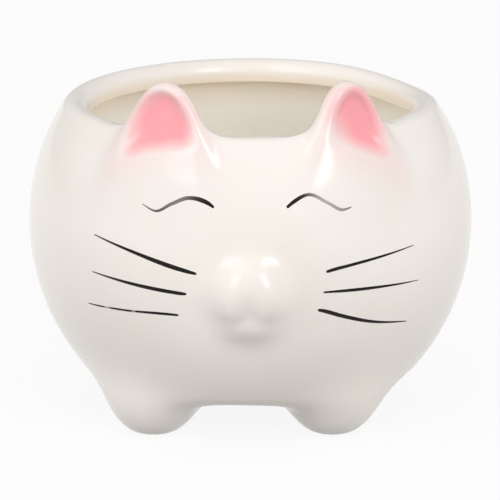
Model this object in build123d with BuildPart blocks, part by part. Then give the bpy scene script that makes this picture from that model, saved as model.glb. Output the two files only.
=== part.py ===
"""A round glazed cat planter on four feet, with a stopper in its drain hole. Millimetres, +Z up, facing -Y."""

import math
import os

from build123d import *

# Round body
ball_radius = 66.0
wall = 5.5
mouth_inset = 17.6
lip_round = 3.9
lip_depth = 6.8
lip_cove = 2.0
base_inset = 16.6
base_round = 10.0
floor_thickness = 7.0
floor_cove = 6.0
belly_clearance = 12.4

# Feet: part balls, each flat where it stands
foot_radius = 14.5
sole_radius = 5.5
front_left_foot_x = -29.0
front_right_foot_x = 24.5
front_foot_forward = 31.0
rear_foot_spread = 27.0
rear_foot_back = 31.0

# Ears: rounded blades on the front of the lip
left_ear_angle = 27.2
right_ear_angle = 32.3
ear_rise = 15.0
ear_root = 12.0
ear_tip_radius = 6.0
ear_thickness = 12.0
ear_lean = 5.0
ear_back_gap = 1.6
ear_stations = (0.1, 0.3, 0.5, 0.75, 1.0)

# Scoop in the front of each ear
cup_half_width = 11.4
cup_half_height = 14.5
cup_depth = 4.0
cup_centre_rise = 1.7
cup_lean = 8.0
left_cup_aside = -0.5
right_cup_aside = 2.5

# Muzzle: two pads side by side over a chin, with the drops measured from the crest of the lip
muzzle_reach = 5.6
pad_half_width = 7.0
pad_half_height = 10.0
pad_spread = 6.4
pad_drop = 40.5
chin_radius = 6.6
chin_drop = 49.9
chin_reach = 3.0

# Enamel: brush strokes as right of the middle, down from the crest of the lip, and width at each station
enamel = 0.15
enamel_seat = 0.02
left_eye = [
    (-30.3, 18.3, 0.3),
    (-26.6, 19.8, 0.8),
    (-22.0, 17.5, 1.1),
    (-17.0, 15.5, 1.3),
    (-11.7, 16.7, 1.4),
    (-10.1, 17.8, 0.7),
]
right_eye = [
    (10.1, 17.8, 1.0),
    (11.9, 16.4, 1.3),
    (16.1, 14.6, 1.1),
    (21.5, 17.1, 1.0),
    (26.0, 19.4, 0.9),
    (28.3, 18.9, 0.3),
]
left_top = [(-44.6, 29.3, 0.3), (-32.0, 32.4, 1.2), (-21.5, 35.1, 1.5), (-15.0, 36.5, 0.6)]
left_middle = [(-45.4, 40.3, 0.3), (-31.3, 41.7, 1.2), (-22.5, 42.4, 1.3), (-17.9, 42.6, 0.6)]
left_bottom = [(-46.7, 50.7, 0.4), (-31.4, 49.8, 0.8), (-20.2, 49.2, 0.5)]
right_top = [(21.2, 36.4, 0.6), (26.2, 35.4, 1.0), (34.6, 34.3, 0.9), (46.8, 32.9, 0.3)]
right_middle = [(20.4, 42.3, 0.5), (28.5, 42.6, 1.1), (38.2, 43.1, 0.8), (48.3, 43.8, 0.3)]
right_bottom = [(18.9, 47.5, 0.8), (25.5, 50.0, 1.2), (34.9, 53.6, 1.0), (45.1, 56.2, 0.3)]

# Drain hole and its stopper
drain_radius = 6.0
plug_clearance = 0.2
plug_head_radius = 9.0
plug_head_thickness = 3.0
plug_stand = 1.0
plug_round = 0.8

# Where the pieces sit
mouth_radius = ball_radius - mouth_inset
base_radius = ball_radius - base_inset
ball_y = muzzle_reach / 2
ball_z = belly_clearance + math.sqrt(ball_radius**2 - base_radius**2)
ball_centre = Vector(0, ball_y, ball_z)
lip_circle_radius = mouth_radius + lip_round
crest_z = ball_z + math.sqrt((ball_radius - lip_round) ** 2 - lip_circle_radius**2) + lip_round
lip_edge_z = crest_z - lip_depth
floor_z = belly_clearance + floor_thickness
foot_centre_z = math.sqrt(foot_radius**2 - sole_radius**2)
ear_height = ear_rise + ear_root
ear_tip_z = crest_z + ear_rise
up = Vector(0, 0, 1)
inward = Vector(0, 1, 0)

os.makedirs("parts", exist_ok=True)


def save(piece: BuildPart, name: str) -> None:
    """Label a finished piece and write it to its own file."""
    piece.part.label = name
    export_step(piece.part, f"parts/{name}.step")


# Outer form of the body, with the well of the mouth sunk to the lower edge of the lip
with BuildPart() as body_form:
    with Locations(ball_centre):
        Sphere(ball_radius)
    split(bisect_by=Plane.XY.offset(belly_clearance), keep=Keep.TOP)
    with BuildSketch(Plane((0, ball_y, lip_edge_z))):
        Circle(mouth_radius)
    extrude(amount=ball_radius, mode=Mode.SUBTRACT)
    fillet(body_form.edges().filter_by(GeomType.CIRCLE).sort_by(Axis.Z)[-1], radius=lip_round)
    fillet(body_form.edges().filter_by(GeomType.CIRCLE).sort_by(Axis.Z)[0], radius=base_round)

# Hollow of the body below the lip
with BuildPart() as hollow:
    with Locations(ball_centre):
        Sphere(ball_radius - wall)
    split(bisect_by=Plane.XY.offset(floor_z), keep=Keep.TOP)
    split(bisect_by=Plane.XY.offset(lip_edge_z), keep=Keep.BOTTOM)
    fillet(hollow.edges().filter_by(GeomType.CIRCLE).sort_by(Axis.Z)[-1], radius=lip_cove)
    fillet(hollow.edges().filter_by(GeomType.CIRCLE).sort_by(Axis.Z)[0], radius=floor_cove)

with BuildPart() as bowl:
    add(body_form.part)
    add(hollow.part, mode=Mode.SUBTRACT)
    with BuildSketch(Plane((0, ball_y, belly_clearance))):
        Circle(drain_radius)
    extrude(amount=floor_thickness, mode=Mode.SUBTRACT)
save(bowl, "bowl")

# Feet
feet = {
    "front_left_foot": (front_left_foot_x, ball_y - front_foot_forward),
    "front_right_foot": (front_right_foot_x, ball_y - front_foot_forward),
    "rear_left_foot": (-rear_foot_spread, ball_y + rear_foot_back),
    "rear_right_foot": (rear_foot_spread, ball_y + rear_foot_back),
}
for name, (x, y) in feet.items():
    with BuildPart() as foot:
        with Locations((x, y, foot_centre_z)):
            Sphere(foot_radius)
        split(bisect_by=Plane.XY, keep=Keep.TOP)
        add(body_form.part, mode=Mode.SUBTRACT)
    save(foot, name)


def spheroid(middle: Vector, long_axis: Vector, seam_side: Vector, half_width: float, half_length: float) -> Part:
    """A ball drawn out along one axis, with its seam on the side that is cut away or left open."""
    long_axis = long_axis.normalized()
    across = (seam_side - long_axis * seam_side.dot(long_axis)).normalized()
    with BuildPart() as drawn_ball:
        with BuildSketch(Plane(middle, x_dir=across, z_dir=across.cross(long_axis))):
            with BuildLine():
                half = EllipticalCenterArc((0, 0), half_width, half_length, start_angle=-90, arc_size=180)
                Line(half @ 0, half @ 1)
            make_face()
        revolve(axis=Axis(middle, long_axis))
    return drawn_ball.part


def ear_spot(turn: float, depth: float) -> Vector:
    """A point on the middle line of an ear, at a depth below its tip."""
    crest_offset = mouth_radius + ear_back_gap + ear_half_depth(ear_rise)
    offset = crest_offset + (depth - ear_rise) * math.tan(math.radians(ear_lean))
    angle = math.radians(turn)
    return Vector(offset * math.sin(angle), ball_y - offset * math.cos(angle), ear_tip_z - depth)


def ear_half_width(depth: float) -> float:
    """Half of an ear's width at a depth below its tip: a parabola."""
    return math.sqrt(2 * ear_tip_radius * depth)


def ear_half_depth(depth: float) -> float:
    """Half of an ear's thickness at a depth below its tip: an ellipse, thickest at the crest of the lip."""
    return ear_thickness / 2 * math.sqrt(1 - (1 - depth / ear_rise) ** 2)


# Ears and the enamel in their scoops
ears = {"left": (-left_ear_angle, left_cup_aside), "right": (right_ear_angle, right_cup_aside)}
for side, (turn, cup_aside) in ears.items():
    outward = Vector(math.sin(math.radians(turn)), -math.cos(math.radians(turn)), 0)
    sideways = Vector(-outward.Y, outward.X, 0)

    with BuildPart() as ear_blank:
        for station in ear_stations:
            depth = ear_height * station**2
            with BuildSketch(Plane(ear_spot(turn, depth), x_dir=sideways, z_dir=(0, 0, 1))):
                Ellipse(ear_half_width(depth), ear_half_depth(depth))
        loft()
        add(body_form.part, mode=Mode.SUBTRACT)

    # The scoop is part of a drawn-out ball that leans with the front of the ear
    cup_level = ear_rise - cup_centre_rise
    cup_radius = (cup_half_width**2 + cup_depth**2) / (2 * cup_depth)
    cup_sink = cup_radius - cup_depth
    cup_length = cup_half_height / math.sqrt(1 - (cup_sink / cup_radius) ** 2)
    cup_axis = up - outward * math.tan(math.radians(cup_lean))
    cup_front = ear_half_depth(cup_level) + cup_sink
    cup_middle = ear_spot(turn, cup_level) + outward * cup_front + sideways * cup_aside

    with BuildPart() as ear:
        add(ear_blank.part)
        add(spheroid(cup_middle, cup_axis, outward, cup_radius, cup_length), mode=Mode.SUBTRACT)
    save(ear, f"{side}_ear")

    with BuildPart() as blush:
        add(ear_blank.part)
        add(spheroid(cup_middle, cup_axis, outward, cup_radius, cup_length), mode=Mode.INTERSECT)
        add(spheroid(cup_middle, cup_axis, outward, cup_radius - enamel, cup_length - enamel), mode=Mode.SUBTRACT)
    save(blush, f"{side}_ear_blush")

# Muzzle
pad_centre_y = ball_y - (ball_radius + muzzle_reach - pad_half_width)
pads = {"left_pad": (-pad_spread, Keep.BOTTOM), "right_pad": (pad_spread, Keep.TOP)}
pad_parts = []
for name, (x, kept_side) in pads.items():
    middle = Vector(x, pad_centre_y, crest_z - pad_drop)
    with BuildPart() as pad:
        add(spheroid(middle, up, inward, pad_half_width, pad_half_height))
        split(bisect_by=Plane.YZ, keep=kept_side)
        add(body_form.part, mode=Mode.SUBTRACT)
    save(pad, name)
    pad_parts.append(pad.part)

chin_middle = Vector(0, ball_y - (ball_radius + chin_reach - chin_radius), crest_z - chin_drop)
with BuildPart() as chin:
    add(spheroid(chin_middle, up, inward, chin_radius, chin_radius))
    add(body_form.part, mode=Mode.SUBTRACT)
    add(pad_parts, mode=Mode.SUBTRACT)
save(chin, "chin")


def beside(stations: list, sign: int) -> list:
    """One long edge of a brush stroke, half its width to one side of the line through its stations."""
    edge = []
    for i, (right, down, width) in enumerate(stations):
        before = stations[max(i - 1, 0)]
        after = stations[min(i + 1, len(stations) - 1)]
        run = Vector(after[0] - before[0], before[1] - after[1]).normalized()
        edge.append((right - sign * run.Y * width / 2, sign * run.X * width / 2 - down))
    return edge


# Brush strokes, a film of enamel on the ball
strokes = {
    "left_eye_line": left_eye,
    "right_eye_line": right_eye,
    "left_top_whisker": left_top,
    "left_middle_whisker": left_middle,
    "left_bottom_whisker": left_bottom,
    "right_top_whisker": right_top,
    "right_middle_whisker": right_middle,
    "right_bottom_whisker": right_bottom,
}
for name, stations in strokes.items():
    with BuildPart() as stroke:
        with BuildSketch(Plane((0, ball_y, crest_z), x_dir=(1, 0, 0), z_dir=(0, -1, 0))):
            with BuildLine():
                upper = Spline(*beside(stations, 1))
                lower = Spline(*beside(stations, -1))
                Line(upper @ 0, lower @ 0)
                Line(upper @ 1, lower @ 1)
            make_face()
        extrude(amount=2 * ball_radius)
        with Locations(ball_centre):
            Sphere(ball_radius + enamel_seat + enamel, mode=Mode.INTERSECT)
            Sphere(ball_radius + enamel_seat, mode=Mode.SUBTRACT)
    save(stroke, name)

# Stopper
with BuildPart() as drain_plug:
    with BuildSketch(Plane((0, ball_y, belly_clearance - plug_head_thickness))):
        Circle(plug_head_radius)
    extrude(amount=plug_head_thickness)
    fillet(drain_plug.edges().group_by(Axis.Z)[0], radius=plug_round)
    with BuildSketch(Plane((0, ball_y, belly_clearance))):
        Circle(drain_radius - plug_clearance)
    extrude(amount=floor_thickness + plug_stand)
    fillet(drain_plug.edges().group_by(Axis.Z)[-1], radius=plug_round)
save(drain_plug, "drain_plug")
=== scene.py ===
"""Looks of a round glazed cat planter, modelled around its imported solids. Sizes are in millimetres."""

import logging
import math
from dataclasses import dataclass
from enum import Enum
from typing import Callable

import bmesh
import bpy
import numpy as np
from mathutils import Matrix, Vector


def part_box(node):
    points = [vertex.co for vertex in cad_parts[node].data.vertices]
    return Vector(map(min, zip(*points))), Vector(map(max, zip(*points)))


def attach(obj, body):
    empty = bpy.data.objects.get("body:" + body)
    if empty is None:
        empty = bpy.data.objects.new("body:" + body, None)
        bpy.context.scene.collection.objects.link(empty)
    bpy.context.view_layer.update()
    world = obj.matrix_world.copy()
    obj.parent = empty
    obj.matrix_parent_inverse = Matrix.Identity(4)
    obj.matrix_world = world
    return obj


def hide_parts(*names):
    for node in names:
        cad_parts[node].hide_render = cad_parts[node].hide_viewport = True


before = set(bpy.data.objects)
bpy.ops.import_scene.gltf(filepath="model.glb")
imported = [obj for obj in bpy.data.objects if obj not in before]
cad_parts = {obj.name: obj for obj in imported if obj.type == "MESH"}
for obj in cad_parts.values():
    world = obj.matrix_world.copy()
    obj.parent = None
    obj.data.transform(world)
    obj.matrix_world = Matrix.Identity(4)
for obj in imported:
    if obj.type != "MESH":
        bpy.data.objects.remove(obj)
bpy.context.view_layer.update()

MM = 0.001
POT = "planter"
UP = np.array([0.0, 0.0, 1.0])
RIGHT = np.array([1.0, 0.0, 0.0])
AHEAD = np.array([0.0, -1.0, 0.0])
LEAST_SLOPE = 0.05
TOUCHING = 1e-5
log = logging.getLogger("planter")

Points = np.ndarray
Field = Callable[[Points], np.ndarray]
Colour = tuple[float, float, float, float]
Socket = bpy.types.NodeSocket


class Shine(Enum):
    """Whether a lamp lights the glaze, shows in its gloss, or both."""

    LIGHT = "light"
    GLOSS = "gloss"
    BOTH = "both"


class Side(Enum):
    """The viewer's left or right when facing the cat."""

    LEFT = "left"
    RIGHT = "right"


# Numbers, directions and colours


def unit(vectors: np.ndarray) -> np.ndarray:
    """Vectors brought to length 1, along the last axis."""
    return vectors / np.maximum(np.linalg.norm(vectors, axis=-1, keepdims=True), 1e-12)


def ease(low: float, high: float, value: np.ndarray) -> np.ndarray:
    """A soft step from 0 at low to 1 at high."""
    share = np.clip((value - low) / (high - low), 0.0, 1.0)
    return share * share * (3.0 - 2.0 * share)


def node_box(node: str) -> tuple[np.ndarray, np.ndarray]:
    """Lowest and highest corner of a CAD node, in millimetres."""
    low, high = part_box(node)
    return np.array(low) / MM, np.array(high) / MM


def linear(red: int, green: int, blue: int) -> Colour:
    """A screen colour as the linear colour that a shader takes.

    Args:
        red: Red, from 0 to 255.
        green: Green, from 0 to 255.
        blue: Blue, from 0 to 255.

    Returns:
        The linear colour, which is opaque.
    """
    parts = []
    for part in (red, green, blue):
        share = part / 255.0
        parts.append(share / 12.92 if share <= 0.04045 else ((share + 0.055) / 1.055) ** 2.4)
    return (parts[0], parts[1], parts[2], 1.0)


PURE_WHITE = (1.0, 1.0, 1.0, 1.0)
WHITE_GLAZE = linear(247, 241, 235)


# Distances from forms, and how forms run together


def run_together(first: np.ndarray, second: np.ndarray, reach: np.ndarray | float) -> np.ndarray:
    """Joins two forms with a soft hollow, without an edge that the gloss would show.

    Args:
        first: Distances from one form.
        second: Distances from the other form.
        reach: How far the hollow reaches, which may differ from point to point.

    Returns:
        Distances from the joined form.
    """
    near = np.maximum(reach - np.abs(first - second), 0.0) / reach
    return np.minimum(first, second) - near**3 * reach / 6.0


def oval(local: np.ndarray, half: np.ndarray) -> np.ndarray:
    """Distances from an oval about the origin with given half sizes, less than 0 inside."""
    once = np.linalg.norm(local / half, axis=1)
    return once * (once - 1.0) / np.maximum(np.linalg.norm(local / half**2, axis=1), 1e-9)


@dataclass(frozen=True)
class Egg:
    """An egg: its middle, directions and half sizes, with a half height of its own below the middle."""

    middle: np.ndarray
    directions: np.ndarray
    half: np.ndarray
    low: float

    def distance(self, points: Points) -> np.ndarray:
        """Measures how far points are from the skin.

        Args:
            points: Where to measure.

        Returns:
            A distance for each point, less than 0 inside.
        """
        local = (points - self.middle) @ self.directions.T
        half = np.broadcast_to(self.half, local.shape).copy()
        half[:, 2] = np.where(local[:, 2] < 0.0, self.low, self.half[2])
        return oval(local, half)


def slope(form: Field, points: Points, reach: float = 0.02) -> np.ndarray:
    """The way in which a distance grows at each point."""
    parts = [form(points + step) - form(points - step) for step in np.eye(3) * reach]
    return np.stack(parts, axis=1) / (2.0 * reach)


def nearer(form: Field, points: Points, grows: np.ndarray, level: float = 0.0) -> Points:
    """Points moved once towards a level over a form's skin, along the ways in which the distance grows."""
    size = np.maximum(np.sum(grows**2, axis=1), LEAST_SLOPE)
    return points - ((form(points) - level) / size)[:, None] * grows


def settle(form: Field, points: Points, level: float = 0.0, rounds: int = 5) -> Points:
    """Moves points onto a form's skin.

    Args:
        form: The form's distance field.
        points: Where the points start.
        level: How far above the skin they end.
        rounds: How often they are moved.

    Returns:
        The points on the skin.
    """
    for _ in range(rounds):
        points = nearer(form, points, slope(form, points), level)
    return points


@dataclass(frozen=True)
class Drape:
    """How a skin is traced from its apex: spokes around it, rings along it, and its tucked-in edge."""

    spokes: int
    rings: int
    step: float
    longest: int = 140
    rounds: int = 3
    overlap: int = 3
    crowd: float = 1.0
    lift: float = 0.012
    tuck: float = 0.3

    def trace(
        self,
        form: Field,
        apex: np.ndarray,
        axis: np.ndarray,
        first: np.ndarray,
        landed: Callable[[Points], np.ndarray],
    ) -> np.ndarray:
        """Follows a skin from the apex, in half planes round an axis, until every path has landed.

        Args:
            form: Distance field of the skin.
            apex: Where the paths start, on the skin.
            axis: Out of the skin at the apex.
            first: Direction of the first path, which the paths may be crowded towards.
            landed: Says of each point whether it has reached what carries the piece.

        Returns:
            Points on the skin by ring and spoke, without the apex.
        """
        axis = unit(axis)
        first = unit(first - axis * (first @ axis))
        turns = np.arange(self.spokes) * 2.0 * math.pi / self.spokes
        spokes = np.cos(turns)[:, None] * first * self.crowd + np.sin(turns)[:, None] * np.cross(axis, first)
        planes = unit(np.cross(axis, spokes))

        def within(points: Points) -> np.ndarray:
            """The skin's outward direction, kept in each path's plane."""
            grows = slope(form, points)
            return grows - planes * np.sum(grows * planes, axis=1, keepdims=True)

        points = np.repeat(apex[None], self.spokes, axis=0)
        walked = [points]
        after = np.zeros(self.spokes)
        while (after <= self.overlap).any() and len(walked) < self.longest:
            moved = points + unit(np.cross(planes, within(points))) * self.step
            for _ in range(self.rounds):
                moved = nearer(form, moved, within(moved))
            points = np.where((after <= self.overlap)[:, None], moved, points)
            walked.append(points)
            after = np.where(landed(points) | (after > 0), after + 1, after)
        return self.spread(form, np.stack(walked))

    def spread(self, form: Field, walked: np.ndarray) -> np.ndarray:
        """Spaces the rings evenly along every walk and lifts them a hair off what carries them.

        Args:
            form: Distance field of the skin.
            walked: Points by step and spoke.

        Returns:
            Points by ring and spoke, the last ring tucked under the skin.
        """
        rings = np.empty((self.rings, self.spokes, 3))
        shares = np.linspace(0.0, 1.0, self.rings + 1)[1:]
        for spoke in range(self.spokes):
            path = walked[:, spoke]
            lengths = np.concatenate([[0.0], np.cumsum(np.linalg.norm(np.diff(path, axis=0), axis=1))])
            for axis in range(3):
                rings[:, spoke, axis] = np.interp(shares * lengths[-1], lengths, path[:, axis])
        rings = settle(form, rings.reshape(-1, 3), level=self.lift).reshape(rings.shape)
        edge = rings[-1]
        rings[-1] = edge - unit(slope(form, edge)) * self.tuck
        return rings

    def sheet(self, form: Field, apex: np.ndarray, rings: np.ndarray, depth: float) -> bmesh.types.BMesh:
        """Draws a closed film over traced rings, with its back under the skin.

        Args:
            form: Distance field of the skin.
            apex: The film's middle.
            rings: Points by ring and spoke.
            depth: How far its back lies under its front.

        Returns:
            The closed mesh.
        """
        flat = rings.reshape(-1, 3)
        backs = (flat - unit(slope(form, flat)) * depth).reshape(rings.shape)
        heart = apex - unit(slope(form, apex[None]))[0] * depth
        return self.mesh(apex, np.concatenate([rings, backs[::-1]]), heart)

    def mesh(self, apex: np.ndarray, rings: np.ndarray, heart: np.ndarray) -> bmesh.types.BMesh:
        """Draws a ball of faces over traced rings.

        Args:
            apex: Where the ball's first pole goes.
            rings: Points by ring and spoke.
            heart: Where its last pole goes, out of sight.

        Returns:
            The closed mesh.
        """
        shaped = bmesh.new()
        levels = len(rings) + 1
        bmesh.ops.create_uvsphere(shaped, u_segments=self.spokes, v_segments=levels, radius=1.0)
        for vert in shaped.verts:
            level = round(math.acos(max(-1.0, min(1.0, vert.co.z))) / math.pi * levels)
            spoke = round(math.atan2(vert.co.y, vert.co.x) / (2.0 * math.pi) * self.spokes) % self.spokes
            if level == 0:
                vert.co = Vector(apex)
            elif level == levels:
                vert.co = Vector(heart)
            else:
                vert.co = Vector(rings[level - 1, spoke])
        return shaped


# Turning meshes into pieces


def finish_piece(
    shaped: bmesh.types.BMesh,
    name: str,
    material: bpy.types.Material,
    skin: Field | None = None,
    marks: dict[str, Field] | None = None,
) -> None:
    """Makes a piece of a mesh in millimetres and seats it on the pot.

    Args:
        shaped: The mesh, which is freed.
        name: The CAD node that the piece stands for.
        material: Its finish.
        skin: Distance field that the shading follows, if the mesh alone isn't smooth enough.
        marks: Values to keep on the vertices, by name.
    """
    mesh = bpy.data.meshes.new(name)
    points = np.array([vert.co for vert in shaped.verts])
    bmesh.ops.scale(shaped, vec=(MM, MM, MM), verts=shaped.verts)
    shaped.to_mesh(mesh)
    shaped.free()
    mesh.shade_smooth()
    for mark, value_at in (marks or {}).items():
        values = np.clip(value_at(points), 0.0, 1.0).astype(np.float32)
        mesh.attributes.new(mark, "FLOAT", "POINT").data.foreach_set("value", values)
    if skin is not None:
        mesh.normals_split_custom_set_from_vertices(unit(slope(skin, points)).tolist())
    mesh.materials.append(material)
    piece = bpy.data.objects.new(f"{name}_look", mesh)
    bpy.context.scene.collection.objects.link(piece)
    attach(piece, POT)
    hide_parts(name)
    log.info("%s: %d faces", piece.name, len(mesh.polygons))


# Finishes


class Shader:
    """A material's or a group's nodes, added and wired in short calls."""

    def __init__(self, tree: bpy.types.NodeTree) -> None:
        """Keeps the tree that nodes are added to."""
        self.tree = tree

    def add(self, kind: str, inputs: dict | None = None, **settings: object) -> bpy.types.Node:
        """Adds a node.

        Args:
            kind: Blender's name of the node type.
            inputs: Socket values or sockets to link, by socket name or number.
            settings: Properties of the node.

        Returns:
            The new node.
        """
        node = self.tree.nodes.new(kind)
        for key, value in settings.items():
            setattr(node, key, value)
        for key, value in (inputs or {}).items():
            if isinstance(value, Socket):
                self.tree.links.new(value, node.inputs[key])
            else:
                node.inputs[key].default_value = value
        return node

    def math(self, operation: str, *values: object) -> Socket:
        """A sum, product or the like of values and sockets."""
        return self.add("ShaderNodeMath", dict(enumerate(values)), operation=operation).outputs[0]

    def mix(self, share: object, first: object, second: object) -> Socket:
        """A colour between two, by a share of 0 to 1."""
        return self.add("ShaderNodeMix", {0: share, 6: first, 7: second}, data_type="RGBA").outputs[2]

    def step(self, value: object, low: float, high: float) -> Socket:
        """A soft step from 0 at low to 1 at high."""
        inputs = {"Value": value, "From Min": low, "From Max": high}
        return self.add("ShaderNodeMapRange", inputs, interpolation_type="SMOOTHSTEP").outputs[0]

    def noise(self, place: Socket, scale: object, detail: float, rough: float = 0.5) -> Socket:
        """A cloudy value at each place."""
        inputs = {"Vector": place, "Scale": scale, "Detail": detail, "Roughness": rough}
        return self.add("ShaderNodeTexNoise", inputs).outputs["Fac"]

    def bump(self, height: Socket, strength: float, depth: float) -> Socket:
        """A surface made uneven by a height, with its depth in millimetres."""
        inputs = {"Height": height, "Strength": strength, "Distance": depth * MM}
        return self.add("ShaderNodeBump", inputs).outputs["Normal"]

    def mark(self, name: str) -> Socket:
        """A value that is kept on the vertices."""
        return self.add("ShaderNodeAttribute", attribute_name=name).outputs["Fac"]

    def level(self, place: Socket) -> Socket:
        """How high each place is, in metres."""
        return self.add("ShaderNodeSeparateXYZ", {"Vector": place}).outputs["Z"]

    def coat(self, inputs: dict) -> None:
        """Ends a material with one surface."""
        surface = self.add("ShaderNodeBsdfPrincipled", inputs)
        self.add("ShaderNodeOutputMaterial", {"Surface": surface.outputs["BSDF"]})


def new_material(name: str) -> tuple[bpy.types.Material, Shader]:
    """Makes an empty material.

    Args:
        name: The material's name.

    Returns:
        The material, and the shader that fills it.
    """
    made = bpy.data.materials.new(name)
    made.use_nodes = True
    made.node_tree.nodes.clear()
    return made, Shader(made.node_tree)


@dataclass(frozen=True)
class Unevenness:
    """The unevenness of a fired glaze: slow clouds of thickness, ripples and rare pinholes."""

    cloud_detail: float = 3.0
    ripple_detail: float = 2.0
    cell_scale: float = 260.0
    rare_from: float = 0.972
    rare_to: float = 0.978
    hole_edge: float = 0.11
    hole_core: float = 0.05

    def group(self) -> bpy.types.NodeTree:
        """Builds the shader group that the glazes share.

        Returns:
            The group.
        """
        tree = bpy.data.node_groups.new("glaze_unevenness", "ShaderNodeTree")
        tree.interface.new_socket("Place", in_out="INPUT", socket_type="NodeSocketVector")
        for name in ("Cloud Scale", "Ripple Scale"):
            tree.interface.new_socket(name, in_out="INPUT", socket_type="NodeSocketFloat")
        for name in ("Cloud", "Ripple", "Pinhole"):
            tree.interface.new_socket(name, in_out="OUTPUT", socket_type="NodeSocketFloat")
        shader = Shader(tree)
        given = shader.add("NodeGroupInput").outputs
        cells = shader.add("ShaderNodeTexVoronoi", {"Vector": given["Place"], "Scale": self.cell_scale})
        lot = shader.add("ShaderNodeSeparateColor", {"Color": cells.outputs["Color"]})
        chosen = shader.step(lot.outputs[0], self.rare_from, self.rare_to)
        near = shader.step(cells.outputs["Distance"], self.hole_edge, self.hole_core)
        found = {
            "Cloud": shader.noise(given["Place"], given["Cloud Scale"], self.cloud_detail),
            "Ripple": shader.noise(given["Place"], given["Ripple Scale"], self.ripple_detail),
            "Pinhole": shader.math("MULTIPLY", chosen, near),
        }
        shader.add("NodeGroupOutput", found)
        return tree


@dataclass(frozen=True)
class Glaze:
    """A glossy white glaze, with pink sprayed where the blush mark says, bare clay under the soles, and
    painted light inside the hollow with a band of painted shade under the lip.
    """

    name: str
    blushed: bool = False
    sole_height: float = 0.0
    white: Colour = WHITE_GLAZE
    thick: Colour = linear(243, 234, 224)
    pink: Colour = linear(255, 167, 174)
    clay: Colour = linear(226, 214, 198)
    # painted light: the inside of the hollow is painted a brighter copy of the white glaze
    painted_inside_light: Colour = linear(255, 251, 243)
    # painted shade: a darker, warmer band just under the lip, faded in between these heights in millimetres
    painted_lip_shade: Colour = linear(240, 225, 206)
    lip_shade_below: float = 76.0
    lip_shade_above: float = 89.0
    cloud_scale: float = 28.0
    cloud_low: float = 0.35
    cloud_high: float = 0.75
    cloud_share: float = 0.55
    ripple_scale: float = 95.0
    ripple_strength: float = 0.1
    ripple_depth: float = 0.6
    spray_scale: float = 140.0
    spray_detail: float = 6.0
    spray_rough: float = 0.6
    grain: float = 0.36
    pinhole_share: float = 0.25
    gloss: float = 0.15
    gloss_play: float = 0.06
    sole_fade: float = 0.4
    bare_rough: float = 0.6
    bends_light: float = 1.5

    def sprayed(self, shader: Shader, place: Socket, colour: Socket) -> Socket:
        """Lays painted light over the hollow's inside, a band of painted shade under the lip, and the pink
        over a colour.

        Args:
            shader: The material's nodes.
            place: Where on the pot.
            colour: The glaze's colour so far.

        Returns:
            The colour with the painted light, the painted shade and the pink.
        """
        # painted shade near the top of the hollow, under the lip, and painted light lower down inside it
        under_lip = shader.step(shader.level(place), self.lip_shade_below * MM, self.lip_shade_above * MM)
        colour = shader.mix(shader.mark("hollow"), colour, shader.mix(under_lip, self.painted_inside_light, self.painted_lip_shade))
        mark = shader.mark("blush")
        spray = shader.noise(place, self.spray_scale, self.spray_detail, self.spray_rough)
        grain = shader.math("MULTIPLY_ADD", spray, self.grain, -self.grain / 2.0)
        share = shader.math("ADD", mark, shader.math("MULTIPLY", grain, mark))
        return shader.mix(share, colour, self.pink)

    def material(self, unevenness: bpy.types.NodeTree) -> bpy.types.Material:
        """Builds the material.

        Args:
            unevenness: The shared group.

        Returns:
            The material.
        """
        made, shader = new_material(self.name)
        place = shader.add("ShaderNodeTexCoord").outputs["Object"]
        inputs = {"Place": place, "Cloud Scale": self.cloud_scale, "Ripple Scale": self.ripple_scale}
        uneven = shader.add("ShaderNodeGroup", inputs, node_tree=unevenness).outputs
        cloud = shader.step(uneven["Cloud"], self.cloud_low, self.cloud_high)
        colour = shader.mix(shader.math("MULTIPLY", cloud, self.cloud_share), self.white, self.thick)
        if self.blushed:
            colour = self.sprayed(shader, place, colour)
        colour = shader.mix(shader.math("MULTIPLY", uneven["Pinhole"], self.pinhole_share), colour, self.clay)
        smoothest = self.gloss - self.gloss_play / 2.0
        rough = shader.math("MULTIPLY_ADD", uneven["Cloud"], self.gloss_play, smoothest)
        if self.sole_height > 0.0:
            sole = self.sole_height * MM
            glazed_from, bare_from = sole * (1.0 + self.sole_fade), sole * (1.0 - self.sole_fade)
            bare = shader.step(shader.level(place), glazed_from, bare_from)
            colour = shader.mix(bare, colour, self.clay)
            rough = shader.math("MULTIPLY_ADD", bare, self.bare_rough, rough)
        normal = shader.bump(uneven["Ripple"], self.ripple_strength, self.ripple_depth)
        shader.coat({"Base Color": colour, "Roughness": rough, "IOR": self.bends_light, "Normal": normal})
        return made


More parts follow.
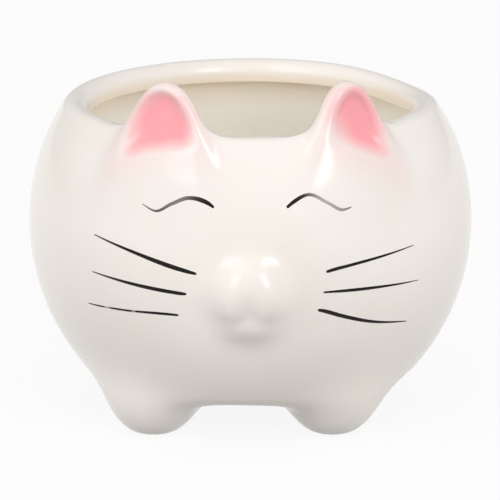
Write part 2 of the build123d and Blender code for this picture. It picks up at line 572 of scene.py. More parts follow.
@dataclass(frozen=True)
class Enamel:
    """Black brushed enamel that thins to the white glaze where the brush ran dry."""

    name: str = "black_enamel"
    black: Colour = linear(20, 16, 15)
    brown: Colour = linear(84, 64, 56)
    white: Colour = WHITE_GLAZE
    hair_run: tuple[float, float, float] = (5.0, 9.0, 1.0)
    hair_detail: float = 3.0
    hair_strength: float = 0.15
    hair_depth: float = 0.2
    streak: float = 0.5
    wet_streak: float = 0.1
    brown_until: float = 0.3
    covers_from: float = 0.75
    gloss: float = 0.22
    gloss_play: float = 0.15
    bends_light: float = 1.5
    shine: float = 0.2

    def material(self) -> bpy.types.Material:
        """Builds the material, which reads the ink mark and the stroke's own map.

        Returns:
            The material.
        """
        made, shader = new_material(self.name)
        ink = shader.mark("ink")
        along = shader.add("ShaderNodeUVMap", uv_map="stroke").outputs["UV"]
        stretched = shader.add("ShaderNodeMapping", {"Vector": along, "Scale": self.hair_run})
        hairs = shader.noise(stretched.outputs[0], 1.0, self.hair_detail)
        streak = shader.math("MULTIPLY_ADD", hairs, self.streak, -self.streak / 2.0)
        dry = shader.math("ADD", shader.math("SUBTRACT", 1.0, ink), self.wet_streak)
        cover = shader.math("ADD", ink, shader.math("MULTIPLY", streak, dry))
        paint = shader.mix(shader.step(cover, self.brown_until, 1.0), self.brown, self.black)
        shader.coat({
            "Base Color": shader.mix(shader.step(cover, 0.0, self.covers_from), self.white, paint),
            "Roughness": shader.math("MULTIPLY_ADD", hairs, self.gloss_play, self.gloss),
            "IOR": self.bends_light,
            "Specular IOR Level": self.shine,
            "Normal": shader.bump(hairs, self.hair_strength, self.hair_depth),
        })
        return made


@dataclass(frozen=True)
class Rubber:
    """Soft dark rubber, a little dusty."""

    name: str = "stopper_rubber"
    dark: Colour = linear(48, 47, 46)
    dusty: Colour = linear(82, 79, 75)
    dust_scale: float = 320.0
    dust_detail: float = 5.0
    dust_low: float = 0.4
    dust_high: float = 0.75
    grain_scale: float = 2600.0
    grain_detail: float = 2.0
    grain_strength: float = 0.3
    grain_depth: float = 0.1
    gloss: float = 0.55
    gloss_play: float = 0.25

    def material(self) -> bpy.types.Material:
        """Builds the material.

        Returns:
            The material.
        """
        made, shader = new_material(self.name)
        place = shader.add("ShaderNodeTexCoord").outputs["Object"]
        dust = shader.noise(place, self.dust_scale, self.dust_detail)
        grain = shader.noise(place, self.grain_scale, self.grain_detail)
        shader.coat({
            "Base Color": shader.mix(shader.step(dust, self.dust_low, self.dust_high), self.dark, self.dusty),
            "Roughness": shader.math("MULTIPLY_ADD", dust, self.gloss_play, self.gloss),
            "Normal": shader.bump(grain, self.grain_strength, self.grain_depth),
        })
        return made


# The object's own pieces


@dataclass
class Body:
    """The round body: a ball with a flat underside, a hollow and a thick rounded lip."""

    mouth_radius: float = 48.4
    lip_round: float = 3.9
    lip_depth: float = 6.8
    lip_cove: float = 2.0
    lip_edge_round: float = 0.8
    base_round: float = 10.0
    wall: float = 5.5
    floor_thickness: float = 7.0
    floor_cove: float = 6.0
    hollow_start: float = 2.0
    drain_radius: float = 6.0
    drain_round: float = 0.6
    slump: float = 1.5
    slump_turn: float = 27.0
    slump_spread: float = 22.0
    slump_depth: float = 12.0
    turns: int = 240
    weld: float = 1e-4
    landing: float = 0.004

    def __post_init__(self) -> None:
        """Takes the ball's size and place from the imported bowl."""
        low, high = node_box("bowl")
        self.radius = round((high[0] - low[0]) / 2.0, 1)
        self.base_z = low[2]
        self.crest_z = high[2]
        self.lip_circle = self.mouth_radius + self.lip_round
        rise = math.sqrt((self.radius - self.lip_round) ** 2 - self.lip_circle**2)
        middle_z = self.crest_z - self.lip_round - rise
        self.centre = np.array([(low[0] + high[0]) / 2.0, (low[1] + high[1]) / 2.0, middle_z])
        self.front_y = self.centre[1] - self.radius
        self.lip_spot = np.array([self.lip_circle, rise])
        depth = self.base_z + self.base_round - self.centre[2]
        self.base_spot = np.array([math.sqrt((self.radius - self.base_round) ** 2 - depth**2), depth])

    def distance(self, points: Points) -> np.ndarray:
        """Measures how far points are from the outer skin, the lip and the wall of the mouth.

        Args:
            points: Where to measure.

        Returns:
            A distance for each point, less than 0 in the clay.
        """
        apart = points - self.centre
        out = np.hypot(apart[:, 0], apart[:, 1])
        height = apart[:, 2]
        ball = np.linalg.norm(apart, axis=1) - self.radius
        mouth = np.where(height > 0.0, self.mouth_radius - out, -self.radius)
        base = self.base_z - self.centre[2] - height
        found = np.maximum(np.maximum(ball, mouth), base)
        lip_out, lip_up = out - self.lip_spot[0], height - self.lip_spot[1]
        lip_way = unit(self.lip_spot)
        over_lip = (lip_up >= 0.0) & (lip_way[0] * lip_up >= lip_way[1] * lip_out)
        found = np.where(over_lip, np.hypot(lip_out, lip_up) - self.lip_round, found)
        base_out, base_up = out - self.base_spot[0], height - self.base_spot[1]
        base_way = unit(self.base_spot)
        round_base = (base_out >= 0.0) & (base_way[0] * base_up <= base_way[1] * base_out)
        return np.where(round_base, np.hypot(base_out, base_up) - self.base_round, found)

    def carries(self, points: Points) -> np.ndarray:
        """Whether points lie on the body's own skin, or as good as on it."""
        return self.distance(points) < self.landing

    def hollow(self, points: Points) -> np.ndarray:
        """Marks the inside, where the glaze is given painted light and, under the lip, painted shade.

        Args:
            points: Where on the pot.

        Returns:
            1 inside the hollow, below the lip, and 0 outside.
        """
        in_ball = np.linalg.norm(points - self.centre, axis=1) < self.radius - self.wall / 2.0
        over_floor = points[:, 2] > self.base_z + self.floor_thickness / 2.0
        under_lip = ease(self.crest_z - self.hollow_start, self.crest_z - self.lip_depth, points[:, 2])
        return (in_ball & over_floor) * under_lip

    def section(self) -> list[tuple[float, float]]:
        """Draws the wall's closed section, from the outside of the lip down, under and up through the hollow.

        Returns:
            Points by distance from the axis and height.
        """
        level = float(self.centre[2])
        hollow = self.radius - self.wall
        floor_z = self.base_z + self.floor_thickness
        ledge_z = self.crest_z - self.lip_depth
        lip_turn = math.atan2(self.lip_spot[1], self.lip_spot[0])
        base_turn = math.atan2(self.base_spot[1], self.base_spot[0])
        floor_height = floor_z + self.floor_cove - level
        floor_out = math.sqrt((hollow - self.floor_cove) ** 2 - floor_height**2)
        floor_turn = math.atan2(floor_height, floor_out)
        ledge_height = ledge_z - self.lip_cove - level
        ledge_out = math.sqrt((hollow - self.lip_cove) ** 2 - ledge_height**2)
        ledge_turn = math.atan2(ledge_height, ledge_out)
        quarter = math.pi / 2.0
        drain = self.drain_radius + self.drain_round
        lip_edge = self.mouth_radius + self.lip_edge_round
        # Each arc has its middle, radius, first and last angle, and number of steps.
        arcs = [
            ((0.0, level), self.radius, lip_turn, base_turn, 90),
            ((self.base_spot[0], level + self.base_spot[1]), self.base_round, base_turn, -quarter, 18),
            ((drain, self.base_z + self.drain_round), self.drain_round, -quarter, -2 * quarter, 4),
            ((drain, floor_z - self.drain_round), self.drain_round, 2 * quarter, quarter, 4),
            ((floor_out, level + floor_height), self.floor_cove, -quarter, floor_turn, 12),
            ((0.0, level), hollow, floor_turn, ledge_turn, 64),
            ((ledge_out, level + ledge_height), self.lip_cove, ledge_turn, quarter, 8),
            ((lip_edge, ledge_z + self.lip_edge_round), self.lip_edge_round, -quarter, -2 * quarter, 6),
            ((self.lip_spot[0], level + self.lip_spot[1]), self.lip_round, 2 * quarter, lip_turn, 36),
        ]
        points = []
        for (out, height), radius, start, end, steps in arcs:
            for turn in np.linspace(start, end, steps + 1):
                points.append((out + radius * math.cos(turn), height + radius * math.sin(turn)))
        return points

    def build(self, material: bpy.types.Material, blush: Field) -> None:
        """Turns the section round the axis, and lets the lip slump a little at the back right.

        Args:
            material: The glaze.
            blush: How much pink reaches each point.
        """
        shaped = bmesh.new()
        across, along = self.centre[:2]
        rim = [shaped.verts.new((across + out, along, height)) for out, height in self.section()]
        for first, second in zip(rim, rim[1:] + rim[:1]):
            shaped.edges.new((first, second))
        bmesh.ops.remove_doubles(shaped, verts=shaped.verts, dist=TOUCHING)
        bmesh.ops.spin(
            shaped,
            geom=list(shaped.verts) + list(shaped.edges),
            cent=self.centre,
            axis=UP,
            angle=2.0 * math.pi,
            steps=self.turns,
            use_merge=True,
        )
        bmesh.ops.remove_doubles(shaped, verts=shaped.verts, dist=self.weld)
        bmesh.ops.recalc_face_normals(shaped, faces=shaped.faces)
        points = np.array([vert.co for vert in shaped.verts])
        turn = np.degrees(np.arctan2(points[:, 1] - along, points[:, 0] - across))
        high = ease(self.crest_z - self.slump_depth, self.crest_z - self.lip_round, points[:, 2])
        sunk = self.slump * np.exp(-(((turn - self.slump_turn) / self.slump_spread) ** 2)) * high
        for vert, drop in zip(shaped.verts, sunk):
            vert.co.z -= float(drop)
        # the hollow mark places the painted light and the painted shade inside the bowl
        finish_piece(shaped, "bowl", material, marks={"blush": blush, "hollow": self.hollow})


@dataclass
class Ear:
    """One ear: a thick leaning blade that runs into the lip, hollowed in front and sprayed pink."""

    body: Body
    side: Side
    angle: float
    half_width: float
    aside: float
    rim: float
    hollow_foot: float
    foot_slope: float
    foot_arch: float
    spray_out: float
    spray_in: float
    foot_out: float
    foot_in: float
    tip_fade: float
    pale: float
    rise: float = 15.0
    half_thickness: float = 4.5
    tip_thickness: float = 2.9
    edge_round: float = 2.8
    plate_start: float = 0.0
    plate_end: float = 14.0
    half_height: float = 27.0
    back_gap: float = 1.6
    lean: float = 5.0
    root_reach: float = 12.0
    back_reach: float = 2.5
    reach_start: float = 1.0
    reach_end: float = 2.0
    brow_start: float = 9.0
    brow_end: float = 38.0
    arch_span: float = 10.0
    hollow_depth: float = 2.9
    hollow_run: float = 6.5
    hollow_corner: float = 7.0
    hollow_back: float = -1.5
    hollow_front: float = 0.5
    rim_round: float = 1.2
    foot_round: float = 2.4
    spray_narrows: float = 0.35
    spray_back: float = -2.0
    pale_top: float = 6.0
    pale_bottom: float = 17.0
    pale_start: float = 2.5
    pale_end: float = -8.0
    haze: float = 0.16
    haze_run: float = 12.0
    pole_tilt: float = 0.1
    heart_depth: float = 20.0
    film_inset: float = 0.4
    film_depth: float = 0.4
    film_start: float = 13.0
    drape: Drape = Drape(spokes=200, rings=100, step=0.4, longest=220, crowd=2.5)
    film: Drape = Drape(spokes=96, rings=40, step=0.3, overlap=0, lift=0.03, tuck=0.05)

    def __post_init__(self) -> None:
        """Works out the blade."""
        turn = math.radians(self.angle) * (-1.0 if self.side is Side.LEFT else 1.0)
        self.outward = np.array([math.sin(turn), -math.cos(turn), 0.0])
        self.sideways = np.cross(UP, self.outward)
        lean = math.tan(math.radians(self.lean))
        long_way = unit(UP - self.outward * lean)
        offset = self.body.mouth_radius + self.back_gap + self.half_thickness
        root = self.half_height - self.rise
        axis = np.array([self.body.centre[0], self.body.centre[1], 0.0])
        middle = axis + self.outward * (offset + root * lean) + UP * (self.body.crest_z - root)
        half = np.array([self.half_width, self.half_thickness, self.half_height])
        ways = np.stack([self.sideways, np.cross(self.sideways, long_way), long_way])
        self.blade = Egg(middle, ways, half, self.half_height)
        self.tip = settle(self.skin, (middle + long_way * self.half_height)[None])[0]

    def place(self, points: Points) -> np.ndarray:
        """Points in the ear's own directions: aside, forward and down from the tip."""
        local = (points - self.blade.middle) @ self.blade.directions.T
        return np.stack([local[:, 0], local[:, 1], self.half_height - local[:, 2]], axis=1)

    def within(self, aside: np.ndarray, down: np.ndarray) -> np.ndarray:
        """How far places are inside the blade's outline, as seen from in front."""
        flat = np.stack([aside, down - self.half_height], axis=1)
        return -oval(flat, np.array([self.half_width, self.half_height]))

    def shape(self, points: Points) -> np.ndarray:
        """Measures the blade: an egg that thickens to a plate with a round edge towards its tip.

        Args:
            points: Where to measure.

        Returns:
            A distance for each point, less than 0 inside.
        """
        aside, forward, down = self.place(points).T
        past_edge = self.edge_round - self.within(aside, down)
        past_face = np.abs(forward) - self.tip_thickness + self.edge_round
        past = np.hypot(np.maximum(past_edge, 0.0), np.maximum(past_face, 0.0))
        plate = np.minimum(np.maximum(past_edge, past_face), 0.0) + past - self.edge_round
        root = ease(self.plate_start, self.plate_end, down)
        return plate * (1.0 - root) + self.blade.distance(points) * root

    def edges(self, points: Points) -> tuple[np.ndarray, np.ndarray]:
        """Measures points against the hollow's outline, as seen from in front.

        Args:
            points: Where to measure.

        Returns:
            How far they are inside the hollow's rim, and how far above its foot.
        """
        aside, _, down = self.place(points).T
        within = self.within(aside - self.aside, down) - self.rim
        arch = self.foot_arch * (aside / self.arch_span) ** 2
        above = self.hollow_foot - down + self.foot_slope * aside + arch
        return within, above

    def inset(self, points: Points) -> np.ndarray:
        """How far points are inside the hollow's whole outline."""
        return run_together(*self.edges(points), self.hollow_corner)

    def past_film(self, points: Points) -> np.ndarray:
        """Whether points lie past the edge of the film in the hollow."""
        return self.inset(points) < self.film_inset

    def blank(self, points: Points) -> np.ndarray:
        """Measures the blade run into the body, before it is hollowed.

        Args:
            points: Where to measure.

        Returns:
            A distance for each point, less than 0 inside.
        """
        body = self.body
        out = np.hypot(points[:, 0] - body.centre[0], points[:, 1] - body.centre[1])
        forward = ease(body.mouth_radius + self.reach_start, body.lip_circle + self.reach_end, out)
        brow = ease(body.crest_z - self.brow_end, body.crest_z - self.brow_start, points[:, 2])
        reach = self.back_reach + (self.root_reach - self.back_reach) * forward * brow
        return run_together(body.distance(points), self.shape(points), reach)

    def skin(self, points: Points) -> np.ndarray:
        """Measures the finished ear and the body under it.

        Args:
            points: Where to measure.

        Returns:
            A distance for each point, less than 0 inside.
        """
        inset = self.inset(points)
        _, forward, down = self.place(points).T
        low_down = ease(self.hollow_foot / 4.0, self.hollow_foot, down)
        soft = self.rim_round + (self.foot_round - self.rim_round) * low_down
        turned = (np.clip(inset, -soft, soft) + soft) ** 2 / (4.0 * soft)
        run = np.clip(np.where(inset > soft, inset, turned) / self.hollow_run, 0.0, 1.0)
        front = ease(self.hollow_back, self.hollow_front, forward)
        return self.blank(points) + self.hollow_depth * run * (2.0 - run) * front

    def blush(self, points: Points) -> np.ndarray:
        """Sprays the pink: full in the hollow, fading at its foot and over its rim into a faint haze.

        Args:
            points: Where on the pot.

        Returns:
            How pink each point is, from 0 to 1.
        """
        aside, forward, down = self.place(points).T
        inset = self.inset(points)
        within, above = self.edges(points)
        narrowed = 1.0 - self.spray_narrows * ease(self.hollow_foot / 2.0, self.hollow_foot, down)
        bare_rim = 1.0 - ease(0.0, self.spray_in + self.spray_out, within + self.spray_out * narrowed)
        bare_foot = 1.0 - ease(-self.foot_out, self.foot_in, above)
        sprayed = np.maximum(1.0 - np.hypot(bare_rim, bare_foot), 0.0) * ease(0.0, self.tip_fade, down)
        low_down = ease(self.pale_top, self.pale_bottom, down)
        sprayed = sprayed * (1.0 - self.pale * low_down * ease(self.pale_start, self.pale_end, aside))
        haze = self.haze * ease(-self.haze_run, 0.0, inset)
        return np.maximum(sprayed, haze) * ease(self.spray_back, 0.0, forward)

    def build(self, material: bpy.types.Material) -> None:
        """Models the ear and the film of pink in its hollow.

        Args:
            material: The glaze that takes the pink.
        """
        name = f"{self.side.value}_ear"
        marks = {"blush": self.blush}
        pole = UP + self.outward * self.pole_tilt
        rings = self.drape.trace(self.skin, self.tip, pole, self.sideways, self.body.carries)
        shaped = self.drape.mesh(self.tip, rings, self.tip - unit(pole) * self.heart_depth)
        finish_piece(shaped, name, material, self.skin, marks)
        local = np.array([self.aside, 0.0, self.half_height - self.film_start])
        spot = self.blade.middle + local @ self.blade.directions
        ahead = self.blade.directions[1]
        start = settle(self.skin, (spot + ahead * self.half_thickness / 2.0)[None])[0]
        rings = self.film.trace(self.skin, start, ahead, self.sideways, self.past_film)
        shaped = self.film.sheet(self.skin, start, rings, self.film_depth)
        finish_piece(shaped, f"{name}_blush", material, self.skin, marks)


def make_ears(body: Body) -> list[Ear]:
    """The two ears, which differ a little, as on any hand-finished pot."""
    return [
        Ear(
            body, Side.LEFT, angle=26.2, half_width=13.4, aside=-0.2, rim=1.7,
            hollow_foot=18.8, foot_slope=-0.22, foot_arch=1.0,
            spray_out=4.8, spray_in=4.2, foot_out=2.6, foot_in=4.0, tip_fade=4.4, pale=0.0,
        ),
        Ear(
            body, Side.RIGHT, angle=30.2, half_width=12.2, aside=1.1, rim=2.8,
            hollow_foot=19.3, foot_slope=0.35, foot_arch=0.8,
            spray_out=6.5, spray_in=2.4, foot_out=2.4, foot_in=4.8, tip_fade=2.2, pale=0.85,
        ),
    ]


@dataclass
class Muzzle:
    """Two soft pads side by side over a chin, run into the face."""

    body: Body
    reach: float = 4.5
    tilt: float = 32.0
    pad_half_width: float = 6.3
    pad_thickness: float = 7.5
    pad_above: float = 8.5
    pad_below: float = 8.0
    pad_spread: float = 3.7
    pad_drop: float = 41.1
    pad_join: float = 5.0
    lip_half_width: float = 5.4
    lip_thickness: float = 7.0
    lip_half_height: float = 5.6
    lip_spread: float = 3.9
    lip_drop: float = 45.2
    lip_reach: float = 3.2
    lip_join: float = 4.0
    chin_half_width: float = 7.6
    chin_thickness: float = 6.0
    chin_half_height: float = 4.8
    chin_drop: float = 50.6
    chin_reach: float = 1.0
    chin_join: float = 5.0
    chin_split_drop: float = 47.0
    chin_split_slope: float = 0.3
    face_join: float = 8.5
    apex_rise: float = 5.0
    heart_depth: float = 9.0
    drape: Drape = Drape(spokes=200, rings=80, step=0.4)

    def __post_init__(self) -> None:
        """Works out the pads, the lips under them and the chin."""
        pad = (self.pad_half_width, self.pad_thickness, self.pad_above)
        lip = (self.lip_half_width, self.lip_thickness, self.lip_half_height)
        chin = (self.chin_half_width, self.chin_thickness, self.chin_half_height)
        self.pads, self.lips = [], []
        for side in (-1.0, 1.0):
            turn = self.tilt * side
            spot = (side * self.pad_spread, self.reach, self.pad_drop)
            self.pads.append(self.egg(spot, pad, self.pad_below, turn))
            spot = (side * self.lip_spread, self.lip_reach, self.lip_drop)
            self.lips.append(self.egg(spot, lip, self.lip_half_height, turn))
        self.chin = self.egg((0.0, self.chin_reach, self.chin_drop), chin, self.chin_half_height, 0.0)

    def egg(
        self, spot: tuple[float, float, float], half: tuple[float, float, float], low: float, turn: float
    ) -> Egg:
        """Works out one egg of the muzzle.

        Args:
            spot: Its place: right, how far it comes out of the face, and down from the lip's crest.
            half: Its half width, half thickness and half height.
            low: Its half height below the middle.
            turn: How far it is turned in the face, in degrees.

        Returns:
            The egg.
        """
        right, reach, drop = spot
        middle = np.array([right, self.body.front_y - reach + half[1], self.body.crest_z - drop])
        cos, sin = math.cos(math.radians(turn)), math.sin(math.radians(turn))
        ways = np.array([[cos, 0.0, sin], [0.0, 1.0, 0.0], [-sin, 0.0, cos]])
        return Egg(middle, ways, np.array(half), low)

    def skin(self, points: Points) -> np.ndarray:
        """Measures the pads, the lips, the chin and the face, run together.

        Args:
            points: Where to measure.

        Returns:
            A distance for each point, less than 0 inside.
        """
        pads = run_together(self.pads[0].distance(points), self.pads[1].distance(points), self.pad_join)
        lips = run_together(self.lips[0].distance(points), self.lips[1].distance(points), self.lip_join)
        pads = run_together(pads, lips, self.lip_join)
        bumps = run_together(pads, self.chin.distance(points), self.chin_join)
        return run_together(self.body.distance(points), bumps, self.face_join)

    @staticmethod
    def cut(shaped: bmesh.types.BMesh, spot: np.ndarray, away: tuple[float, float, float]) -> None:
        """Cuts a closed mesh by a plane, drops one part and closes the cut.

        Args:
            shaped: The mesh.
            spot: A point on the plane.
            away: Points to the side that is dropped.
        """
        geom = list(shaped.verts) + list(shaped.edges) + list(shaped.faces)
        found = bmesh.ops.bisect_plane(
            shaped, geom=geom, dist=TOUCHING, plane_co=Vector(spot), plane_no=Vector(away), clear_outer=True
        )
        edges = [part for part in found["geom_cut"] if isinstance(part, bmesh.types.BMEdge)]
        bmesh.ops.contextual_create(shaped, geom=edges)

    def build(self, material: bpy.types.Material) -> None:
        """Models the muzzle as one skin and parts it into its three pieces.

        Args:
            material: The glaze.
        """
        split = np.array([0.0, 0.0, self.body.crest_z - self.chin_split_drop])
        middle = np.array([0.0, self.body.front_y - self.reach, split[2] + self.apex_rise])
        apex = settle(self.skin, middle[None])[0]
        rings = self.drape.trace(self.skin, apex, AHEAD, RIGHT, self.body.carries)
        heart = apex - AHEAD * self.heart_depth
        tilt = self.chin_split_slope
        cuts = {
            "left_pad": [(1.0, 0.0, 0.0), (tilt, 0.0, -1.0)],
            "right_pad": [(-1.0, 0.0, 0.0), (-tilt, 0.0, -1.0)],
            "chin": [(-tilt, 0.0, 1.0), (tilt, 0.0, 1.0)],
        }
        for name, planes in cuts.items():
            shaped = self.drape.mesh(apex, rings, heart)
            for away in planes:
                self.cut(shaped, split, away)
            finish_piece(shaped, name, material, self.skin)


@dataclass
class Foot:
    """One stub foot: a part ball, flat where it stands, that runs up into the body."""

    body: Body
    name: str
    radius: float = 11.6
    sole_radius: float = 5.2
    drawn_in: float = 0.98
    sole_round: float = 1.5
    join: float = 22.0
    heart_rise: float = 1.5
    drape: Drape = Drape(spokes=128, rings=80, step=0.6)

    def __post_init__(self) -> None:
        """Takes the foot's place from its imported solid."""
        low, high = node_box(self.name)
        lift = math.sqrt(self.radius**2 - self.sole_radius**2)
        self.ball = np.array([(low[0] + high[0]) / 2.0 * self.drawn_in, (low[1] + high[1]) / 2.0, lift])
        self.sole = np.array([self.ball[0], self.ball[1], 0.0])

    def skin(self, points: Points) -> np.ndarray:
        """Measures the foot and the body above it.

        Args:
            points: Where to measure.

        Returns:
            A distance for each point, less than 0 inside.
        """
        ball = np.linalg.norm(points - self.ball, axis=1) - self.radius
        past_ball = np.maximum(self.sole_round + ball, 0.0)
        past_sole = np.maximum(self.sole_round - points[:, 2], 0.0)
        inside = np.minimum(-self.sole_round, np.maximum(ball, -points[:, 2]))
        stub = inside + np.hypot(past_ball, past_sole)
        return run_together(self.body.distance(points), stub, self.join)

    def build(self, material: bpy.types.Material) -> None:
        """Models the foot from its sole upwards.

        Args:
            material: The glaze, which leaves the sole bare.
        """
        rings = self.drape.trace(self.skin, self.sole, -UP, RIGHT, self.body.carries)
        shaped = self.drape.mesh(self.sole, rings, self.ball + UP * self.heart_rise)
        for vert in shaped.verts:
            vert.co.z = max(vert.co.z, 0.0)
        finish_piece(shaped, self.name, material, self.skin)


@dataclass
class Stroke:
    """One brush stroke: stations as right, down from the lip's crest, width and how much enamel is left."""

    name: str
    stations: list[tuple[float, float, float, float]]
    height: float = 0.14
    sunk: float = 0.06
    thickness: float = 0.25
    least_width: float = 0.15
    tip_share: float = 0.015
    look_ahead: float = 0.005
    steps: int = 96
    across: int = 8

    def along(self, shares: np.ndarray) -> np.ndarray:
        """Follows a smooth curve through the stations.

        Args:
            shares: Places along the stroke, as shares of its length.

        Returns:
            The stations' four values at each place.
        """
        shares = np.clip(shares, 0.0, 1.0)
        table = np.array(self.stations)
        runs = np.linalg.norm(np.diff(table[:, :2], axis=0), axis=1)
        places = np.concatenate([[0.0], np.cumsum(runs)]) / runs.sum()
        slopes = np.gradient(table, places, axis=0)
        index = np.clip(np.searchsorted(places, shares, side="right") - 1, 0, len(places) - 2)
        span = (places[index + 1] - places[index])[:, None]
        t = ((shares - places[index])[:, None]) / span
        start = (1 + 2 * t) * (1 - t) ** 2 * table[index] + t * (1 - t) ** 2 * span * slopes[index]
        end = t * t * (3 - 2 * t) * table[index + 1] + t * t * (t - 1) * span * slopes[index + 1]
        return start + end

    def build(self, body: Body, skin: Field, material: bpy.types.Material) -> None:
        """Lays the stroke on the face.

        Args:
            body: The round body, for the crest that the stations are measured from.
            skin: Distance field of the face.
            material: The enamel.
        """
        shaped = bmesh.new()
        bmesh.ops.create_grid(shaped, x_segments=self.steps, y_segments=self.across, size=1.0)
        grid = np.array([vert.co for vert in shaped.verts])
        level = np.zeros(len(grid))
        shares = np.clip((grid[:, 0] + 1.0) / 2.0, 0.0, 1.0)
        line = self.along(shares)
        ahead = self.along(shares + self.look_ahead) - self.along(shares - self.look_ahead)
        run = unit(np.stack([ahead[:, 0], level, -ahead[:, 1]], axis=1))
        side = np.stack([-run[:, 2], level, run[:, 0]], axis=1)
        tips = np.sqrt(np.clip(np.minimum(shares, 1.0 - shares) / self.tip_share, 0.0, 1.0))
        width = np.maximum(line[:, 2], self.least_width) * tips
        spots = np.stack([line[:, 0], level, body.crest_z - line[:, 1]], axis=1)
        spots += side * (grid[:, 1] * width / 2.0)[:, None]
        flat = np.hypot(spots[:, 0] - body.centre[0], spots[:, 2] - body.centre[2])
        spots[:, 1] = body.centre[1] - np.sqrt(body.radius**2 - flat**2)
        dome = self.height * (1.0 - grid[:, 1] ** 2) * tips - self.sunk * grid[:, 1] ** 2
        spots = settle(skin, spots)
        spots = spots + unit(slope(skin, spots)) * dome[:, None]
        maps = shaped.loops.layers.uv.new("stroke")
        inks = shaped.verts.layers.float.new("ink")
        for vert, spot, ink in zip(shaped.verts, spots, line[:, 3]):
            vert[inks] = float(ink)
            for loop in vert.link_loops:
                loop[maps].uv = ((vert.co.x + 1.0) / 2.0, (vert.co.y + 1.0) / 2.0)
            vert.co = Vector(spot)
        bmesh.ops.recalc_face_normals(shaped, faces=shaped.faces)
        if sum(face.normal.y for face in shaped.faces) > 0.0:
            bmesh.ops.reverse_faces(shaped, faces=shaped.faces)
        bmesh.ops.solidify(shaped, geom=shaped.faces, thickness=self.thickness)
        finish_piece(shaped, self.name, material)


STROKES = [
    Stroke("left_eye_line", [
        (-30.3, 18.3, 0.35, 0.45), (-26.6, 19.8, 0.8, 0.6), (-22.0, 17.5, 1.1, 0.55),
        (-17.0, 15.5, 1.3, 0.6), (-11.7, 16.7, 1.4, 0.9), (-10.1, 17.8, 0.8, 0.95),
    ]),
    Stroke("right_eye_line", [
        (10.1, 17.8, 1.0, 0.98), (11.9, 16.4, 1.3, 0.98), (16.1, 14.6, 1.1, 0.6),
        (21.5, 17.1, 1.0, 0.4), (26.0, 19.4, 0.9, 0.5), (28.3, 18.9, 0.35, 0.6),
    ]),
    Stroke("left_top_whisker", [
        (-44.6, 29.3, 0.35, 0.7), (-32.0, 32.4, 1.2, 0.95), (-21.5, 35.1, 1.6, 1.0),
        (-17.0, 36.1, 1.3, 1.0), (-15.0, 36.5, 0.9, 1.0),
    ]),
    Stroke("left_middle_whisker", [
        (-45.4, 40.3, 0.35, 0.65), (-31.3, 41.7, 1.25, 0.95), (-22.5, 42.4, 1.35, 1.0),
        (-19.0, 42.6, 1.15, 1.0), (-17.9, 42.6, 0.9, 1.0),
    ]),
    Stroke("left_bottom_whisker", [
        (-46.7, 50.7, 0.4, 0.6), (-42.4, 50.5, 0.6, 0.85), (-40.9, 50.4, 0.6, 0.4),
        (-39.4, 50.3, 0.7, 0.9), (-34.4, 50.0, 0.75, 0.9), (-33.2, 49.9, 0.75, 0.45),
        (-32.0, 49.8, 0.8, 0.95), (-22.5, 49.3, 0.95, 1.0), (-20.2, 49.3, 0.8, 1.0),
    ]),
    Stroke("right_top_whisker", [
        (21.2, 36.4, 1.0, 1.0), (22.4, 36.1, 1.15, 1.0), (28.0, 35.2, 1.1, 0.98),
        (35.0, 34.3, 0.95, 0.95), (46.8, 32.9, 0.3, 0.6),
    ]),
    Stroke("right_middle_whisker", [
        (20.4, 42.3, 0.65, 1.0), (28.5, 42.6, 1.15, 1.0), (38.2, 43.1, 0.9, 0.95), (48.3, 43.8, 0.3, 0.6),
    ]),
    Stroke("right_bottom_whisker", [
        (18.9, 47.5, 1.0, 0.9), (20.4, 47.9, 1.3, 0.9), (25.5, 50.0, 1.4, 0.95),
        (34.9, 53.6, 1.1, 1.0), (45.1, 56.2, 0.35, 0.8),
    ]),
]


# Where it is seen


@dataclass(frozen=True)
class Lamp:
    """One soft lamp that faces the pot, with its place and size in metres and its spread in degrees."""

    name: str
    place: tuple[float, float, float]
    size: tuple[float, float]
    watts: float
    shine: Shine
    spread: float = 180.0

    def hang(self, middle: Vector) -> None:
        """Hangs the lamp.

        Args:
            middle: The middle of the ball, which its place is measured from.
        """
        data = bpy.data.lights.new(self.name, "AREA")
        data.shape = "RECTANGLE"
        data.size, data.size_y = self.size
        data.energy = self.watts
        data.spread = math.radians(self.spread)
        lamp = bpy.data.objects.new(self.name, data)
        lamp.location = middle + Vector(self.place)
        lamp.rotation_euler = (-Vector(self.place)).to_track_quat("-Z", "Y").to_euler()
        lamp.visible_glossy = self.shine is not Shine.LIGHT
        lamp.visible_diffuse = self.shine is not Shine.GLOSS
        bpy.context.scene.collection.objects.link(lamp)


LAMPS = [
    Lamp("left_lamp", (-1.45, -0.6, 0.22), (1.0, 1.2), 15.2, Shine.LIGHT),
    Lamp("left_front_lamp", (-0.75, -1.15, 0.76), (0.7, 0.85), 3.4, Shine.GLOSS),
    Lamp("right_lamp", (0.98, -1.12, 0.29), (0.9, 0.9), 9.0, Shine.LIGHT),
    Lamp("right_front_lamp", (0.68, -1.15, 0.76), (0.38, 0.72), 3.3, Shine.LIGHT),
    Lamp("right_window", (0.66, -1.15, 0.76), (0.4, 0.74), 4.2, Shine.GLOSS),
    Lamp("high_lamp", (-0.3, -0.85, 1.3), (0.4, 0.3), 0.8, Shine.BOTH),
    Lamp("mouth_lamp", (0.0, 0.0, 0.5), (0.056, 0.056), 0.0045, Shine.LIGHT, spread=5.0),
]


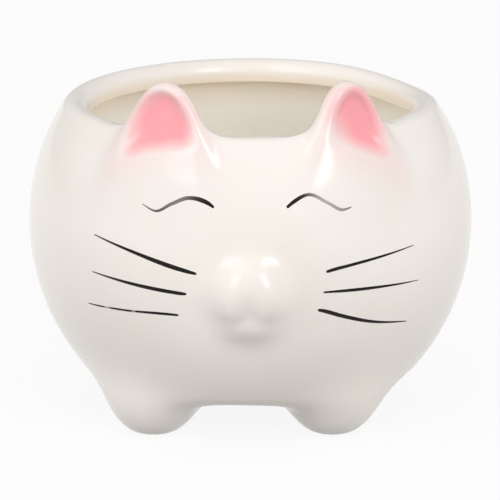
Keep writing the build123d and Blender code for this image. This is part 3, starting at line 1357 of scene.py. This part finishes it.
@dataclass
class Studio:
    """A pale floor, soft lamps and the camera, with places in metres about the middle of the ball."""

    body: Body
    elevation: float = 15.0
    distance: float = 1.0
    lens: float = 240.6
    sensor: float = 36.0
    clip_start: float = 0.01
    aim_drop: float = 0.00958
    aim_left: float = 0.00015
    ambient: float = 0.58
    floor_size: float = 12.0
    floor_cells: int = 8
    floor_dim: float = 0.31
    floor_pale: Colour = linear(246, 246, 245)
    floor_glow: float = 0.9

    def __post_init__(self) -> None:
        """Finds the point that lamps and camera are placed about."""
        self.middle = Vector(self.body.centre * MM)

    def floor(self) -> None:
        """Lays the floor, which looks white to the camera and keeps the pot's shadow."""
        shaped = bmesh.new()
        cells = self.floor_cells
        bmesh.ops.create_grid(shaped, x_segments=cells, y_segments=cells, size=self.floor_size)
        mesh = bpy.data.meshes.new("floor")
        shaped.to_mesh(mesh)
        shaped.free()
        made, shader = new_material("pale_floor")
        path = shader.add("ShaderNodeLightPath").outputs
        mirrored = shader.math("MAXIMUM", path["Is Glossy Ray"], path["Is Transmission Ray"])
        seen = shader.math("MAXIMUM", path["Is Camera Ray"], mirrored)
        tone = shader.mix(seen, (self.floor_dim, self.floor_dim, self.floor_dim, 1.0), self.floor_pale)
        matt = shader.add("ShaderNodeBsdfDiffuse", {"Color": tone})
        white = shader.add("ShaderNodeEmission", {"Color": PURE_WHITE, "Strength": 1.0})
        share = shader.math("MULTIPLY", seen, self.floor_glow)
        both = shader.add("ShaderNodeMixShader", {0: share, 1: matt.outputs[0], 2: white.outputs[0]})
        shader.add("ShaderNodeOutputMaterial", {"Surface": both.outputs[0]})
        mesh.materials.append(made)
        floor = bpy.data.objects.new("floor", mesh)
        bpy.context.scene.collection.objects.link(floor)

    def world(self) -> None:
        """Fills the room with an even light, white where it is seen."""
        world = bpy.data.worlds.new("room")
        world.use_nodes = True
        world.node_tree.nodes.clear()
        shader = Shader(world.node_tree)
        path = shader.add("ShaderNodeLightPath").outputs
        seen = shader.math("MAXIMUM", path["Is Camera Ray"], path["Is Transmission Ray"])
        strength = shader.math("MULTIPLY_ADD", seen, 1.0 - self.ambient, self.ambient)
        light = shader.add("ShaderNodeBackground", {"Color": PURE_WHITE, "Strength": strength})
        shader.add("ShaderNodeOutputWorld", {"Surface": light.outputs[0]})
        bpy.context.scene.world = world

    def camera(self) -> None:
        """Stands the camera where the photograph was taken from."""
        data = bpy.data.cameras.new("camera")
        data.lens = self.lens
        data.sensor_width = self.sensor
        data.clip_start = self.clip_start
        camera = bpy.data.objects.new("camera", data)
        tilt = math.radians(self.elevation)
        back = Vector((0.0, -math.cos(tilt), math.sin(tilt)))
        rise = Vector((0.0, math.sin(tilt), math.cos(tilt)))
        camera.location = self.middle + back * self.distance
        aim = self.middle - rise * self.aim_drop - Vector((self.aim_left, 0.0, 0.0))
        camera.rotation_euler = (aim - camera.location).to_track_quat("-Z", "Y").to_euler()
        bpy.context.scene.collection.objects.link(camera)
        bpy.context.scene.camera = camera

    def build(self) -> None:
        """Sets the whole stage."""
        self.floor()
        self.world()
        for lamp in LAMPS:
            lamp.hang(self.middle)
        self.camera()
        bpy.context.scene.view_settings.view_transform = "Standard"


def main() -> None:
    """Builds the pieces in order, then the stage."""
    logging.basicConfig(level=logging.INFO, format="%(name)s: %(message)s")
    unevenness = Unevenness().group()
    white = Glaze("white_glaze").material(unevenness)
    blushed = Glaze("blushed_glaze", blushed=True).material(unevenness)
    standing = Glaze("foot_glaze", sole_height=0.8).material(unevenness)
    body = Body()
    ears = make_ears(body)
    body.build(blushed, lambda points: np.maximum(ears[0].blush(points), ears[1].blush(points)))
    for ear in ears:
        ear.build(blushed)
    muzzle = Muzzle(body)
    muzzle.build(white)
    for name in ("front_left_foot", "front_right_foot", "rear_left_foot", "rear_right_foot"):
        Foot(body, name).build(standing)

    def face(points: Points) -> np.ndarray:
        """Distances from the face with its ears and muzzle."""
        return np.minimum(np.minimum(ears[0].skin(points), ears[1].skin(points)), muzzle.skin(points))

    ink = Enamel().material()
    for stroke in STROKES:
        stroke.build(body, face, ink)
    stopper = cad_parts["drain_plug"]
    stopper.data.materials.clear()
    stopper.data.materials.append(Rubber().material())
    Studio(body).build()


if __name__ == "__main__":
    main()
